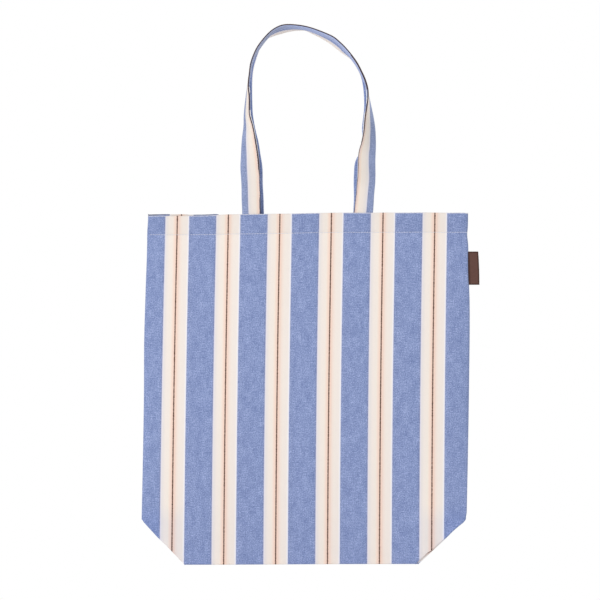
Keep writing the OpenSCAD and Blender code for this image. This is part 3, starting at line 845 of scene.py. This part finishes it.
def make_strap(name, line, side, material):
    """A strap swept along its line. Its striped face looks out of the bag."""
    middle, along, wide, thick, run = line
    q, b = strap_profile().T
    length = np.concatenate([[0], np.cumsum(np.hypot(np.diff(q), np.diff(b)))])
    ring_q = np.concatenate([q, q[:0:-1]])
    ring_b = np.concatenate([b, -b[:0:-1]])
    ring_u = np.concatenate([length, -length[:0:-1]])
    n, m = len(run), len(ring_q)
    # The fold lies at the outer edge of the front strap's legs, and at the inner edge of the rear strap's
    across = (ring_q - strap_w / 2) * -side
    pucker = 0.07 * np.sin(run * 2 * math.pi / stitch_pitch)[:, None]
    pucker = pucker * hump((ring_q - STRAP_STITCH) / 1.5)[None]
    swell = 1 + 0.05 * np.sin(run / 21)[:, None] + 0.03 * np.sin(run / 9 + 2)[:, None]
    out = -side * (ring_b[None] * swell + np.sign(ring_b)[None] * pucker)
    wave = 1 + (0.25 * np.sin(run / 13 + 1) + 0.18 * np.sin(run / 5.7)) / (strap_w / 2)
    verts = middle[:, None] + (wave[:, None] * across[None])[:, :, None] * wide[:, None] \
        + out[:, :, None] * thick[:, None]
    # The striped face begins blue at the fold: border is where its cream begins, and the brown yarn lies
    # yarn_u from the fold, over the sewn edge. The plain face is blue.
    up = np.minimum(run, run[-1] - run) - STRAP_TAIL
    share = (run / run[-1])[:, None]
    blue_end, last_blue = REPEAT / 2 - YARN, REPEAT / 2 - YARN - (REPEAT - CREAM_WIDTH)
    to_right = smooth(5 * share - 2)
    if side < 0:
        left_border = np.interp(up, [90, 115], [8.2, 8.6])[:, None]
        right_border = np.interp(up, [42, 60, 78, 95], [8.6, 9.5, 9.9, 11.4])[:, None]
        border = mix(left_border, right_border, to_right)
        yarn_u = np.interp(up, [15, 25, 45, 57, 80, 97, 115], [22, 22.9, 22.8, 21.1, 21.4, 22.7, 22.5])
        yarn_u = mix(yarn_u[:, None], 22.7, to_right)
    else:
        border, yarn_u = np.full((n, 1), 9.0), np.full((n, 1), 23.1)
    u = ring_u[None]
    cream = blue_end + (u - border) * (YARN - 0.75) / (yarn_u - border)
    striped = np.where(u < border, blue_end - border + u, cream)
    striped = np.where(u < yarn_u, striped, REPEAT / 2 - 0.75 + 0.6 * (u - yarn_u))
    on_arch = smooth((up - 118) / 12)[:, None]
    # On the arch the rear strap's striped face is held at a pale cream: the cream it shows there, painted
    # paler as painted light for its shaded underside
    striped = np.minimum(striped, REPEAT / 2 + 0.3 if side < 0 else mix(REPEAT / 2 + 0.3, 26.5, on_arch))
    # Part way up the front strap's legs its sewn edge gapes and shows a cream margin
    on_right = to_right[:, 0]
    gape = mix(hump((up - 121) / 5) + hump((up - 149) / 5), hump((up - 137) / 5), on_right) * (side < 0)
    rim = (float(np.interp(strap_w - 0.3, q[:-5], length[:-5])) + 4 * (1 - np.minimum(gape, 1)))[:, None]
    plain = mix(blue_end - border, mix(last_blue, -9.5, on_arch), -u / rim)
    plain = np.where(-u < rim, plain, last_blue - 1.2)
    place = np.where(u < 0, plain, striped)
    flat = np.stack([place, np.broadcast_to(run[:, None], place.shape)], 2)
    faces = []
    for i in range(n - 1):
        for k in range(m):
            p, r = i * m + k, i * m + (k + 1) % m
            faces.append((p, r, r + m, p + m))
    faces += [tuple(range(m - 1, -1, -1)), tuple((n - 1) * m + k for k in range(m))]
    last = len(q)
    # The brown yarn's colour also covers the sewn edge's end face and the gap between the plies, furthest on
    # the arch and up the right leg: the yarn, and painted shade in the gap
    edge_on = (on_arch[:, 0] > 0.5) | ((up > 85) & (gape < 0.5))
    yarn_and_shade_quads = [i * m + k for i in range(n - 1) if side < 0
               for k in range(last - (5 if on_arch[i] > 0.5 else 4), last + (1 if edge_on[i] else 0)
                              + (2 if on_right[i] > 0.5 and 150 < up[i] < 197 else 0))]
    return new_object(name, verts.reshape(-1, 3), faces, material, flat.reshape(-1, 2),
                      yarn_and_shade_quads=yarn_and_shade_quads)


def strap_stitches(name, line, side):
    """Rows of stitches beside the sewn edge, one on each face."""
    at = np.arange(5, line[4][-1] - 5, stitch_pitch)
    middle, along, wide, thick = (np.stack([np.interp(at, line[4], v[:, k]) for k in range(3)], 1)
                                  for v in line[:4])
    place = middle - side * (STRAP_STITCH - strap_w / 2) * unit(wide)
    up = thick * (strap_t / 2 - (0.14 if side < 0 else 0.26))
    return stitches(name, [(place + up, along, thick), (place - up, along, -thick)], hem_thread, width=0.42,
                    sink=0.2)


def tack_rows(route, side):
    """Stitched boxes that hold the strap ends against the hem."""
    rows = []
    w, h = strap_w - 5, hem_depth - 7
    for x in (route[0][0], route[-1][0]):
        low = bag_h - hem_depth / 2 - h / 2
        corners = [(x - w / 2, low), (x + w / 2, low), (x + w / 2, low + h), (x - w / 2, low + h)]
        for (ax, az), (bx, bz) in zip(corners, corners[1:] + corners[:1]):
            span = math.hypot(bx - ax, bz - az)
            t = (np.arange(int(span // 3)) + 0.5) / int(span // 3)
            px, pz = mix(ax, bx, t), mix(az, bz, t)
            y = half_thick(x + 0 * t, pz) + bumps(x + 0 * t, pz, side) - HEM_INSIDE - strap_t - 0.24
            along = np.tile([(bx - ax) / span, 0, (bz - az) / span], (len(t), 1))
            rows.append((np.stack([px, side * y, pz], 1), along, np.tile([0, -side, 0], (len(t), 1))))
    return rows


for side, word, route, carrier, material in ((-1, "front", FRONT_ROUTE, "front", front_strap_cloth),
                                             (1, "rear", REAR_ROUTE, "bag", rear_strap_cloth)):
    line = strap_line(route, side)
    strap = make_strap(f"{word}_strap", line, side, material)
    row = strap_stitches(f"{word}_strap_stitches", line, side)
    for piece in (strap, row):
        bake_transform(piece)
    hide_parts(f"{word}_handle", f"{word}_left_strap_end", f"{word}_right_strap_end")
    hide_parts(f"{word}_handle_stitches")
    tacks = stitches(f"{word}_strap_tacks", tack_rows(route, side), hem_thread, length=2.4)
    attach(tacks, carrier)
    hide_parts(f"{word}_handle_tacks")

# ---------------------------------------------------------------- side label

# A folded loop of ribbon whose ends are caught in the right side seam
label_low = (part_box("side_label")[0][2] - foot_level) / MM
label_high = (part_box("side_label")[1][2] - foot_level) / MM
label_ribbon = ribbon("woven label ribbon, bare", label_high - label_low)
label_thick = 0.35
label_reach = 208.6  # x of the fold at the label's foot
label_bend = 0.42    # radius of the fold, outside
levels = np.linspace(label_low, label_high, 26)
points, flat = [], []
for z in levels:
    root = float(middle_x(z) + side_reach(z, 1, 1)) - 2.0
    far = label_reach - 1.4 * ((z - label_low) / 40) ** 2.2
    bend = [(far - label_bend + label_bend * math.cos(a), label_bend * math.sin(a))
            for a in np.radians([-90, -60, -30, 0, 30, 60, 90])]
    legs = [(mix(root, far - label_bend, t), -label_bend - 0.05 * math.sin(math.pi * t))
            for t in np.linspace(0, 1, 8)[:-1]]
    path = np.array(legs + bend + [(x, -y) for x, y in legs[::-1]])
    normal = np.gradient(path, axis=0) @ np.array([[0, -1], [1, 0]])
    inner = path - label_thick * unit(normal)
    run = np.concatenate([[0], np.cumsum(np.hypot(*np.diff(path, axis=0).T))])
    ring = np.concatenate([path, inner[::-1]])
    curl = 0.25 * math.sin((z - label_low) / 11) * np.clip((ring[:, 0] - root) / 12, 0, 1) ** 2
    points.append(np.stack([ring[:, 0], ring[:, 1] + curl, np.full(len(ring), z)], 1))
    place = np.concatenate([run, run[::-1]]) - run[-1] / 2
    flat.append(np.stack([place, np.full(len(ring), z - label_low)], 1))
points, flat = np.array(points), np.array(flat)
n, m, _ = points.shape
faces = [(i * m + k, i * m + (k + 1) % m, (i + 1) * m + (k + 1) % m, (i + 1) * m + k)
         for i in range(n - 1) for k in range(m)]
half = m // 2
for k in range(half - 1):
    faces.append((k + 1, k, m - 1 - k, m - 2 - k))
    top = (n - 1) * m
    faces.append((top + k, top + k + 1, top + m - 2 - k, top + m - 1 - k))
label = new_object("side_label_ribbon", points.reshape(-1, 3), faces, label_ribbon,
                   flat.reshape(-1, 2))
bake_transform(label)
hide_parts("side_label")

# ---------------------------------------------------------------- floor

floor_mesh = bpy.data.meshes.new("studio_floor")
floor_reach = 6.0
floor_z = foot_level - 0.0015
corners = [(-1, -1), (1, -1), (1, 1), (-1, 1)]
floor_mesh.from_pydata([(x * floor_reach, y * floor_reach, floor_z) for x, y in corners], [], [(0, 1, 2, 3)])
floor = bpy.data.objects.new("studio_floor", floor_mesh)
bpy.context.scene.collection.objects.link(floor)
floor_material, tree = new_material("painted studio floor, pale")
finish_material(tree, hex_colour("#FDFDFD"), None, 0.9)
floor_mesh.materials.append(floor_material)
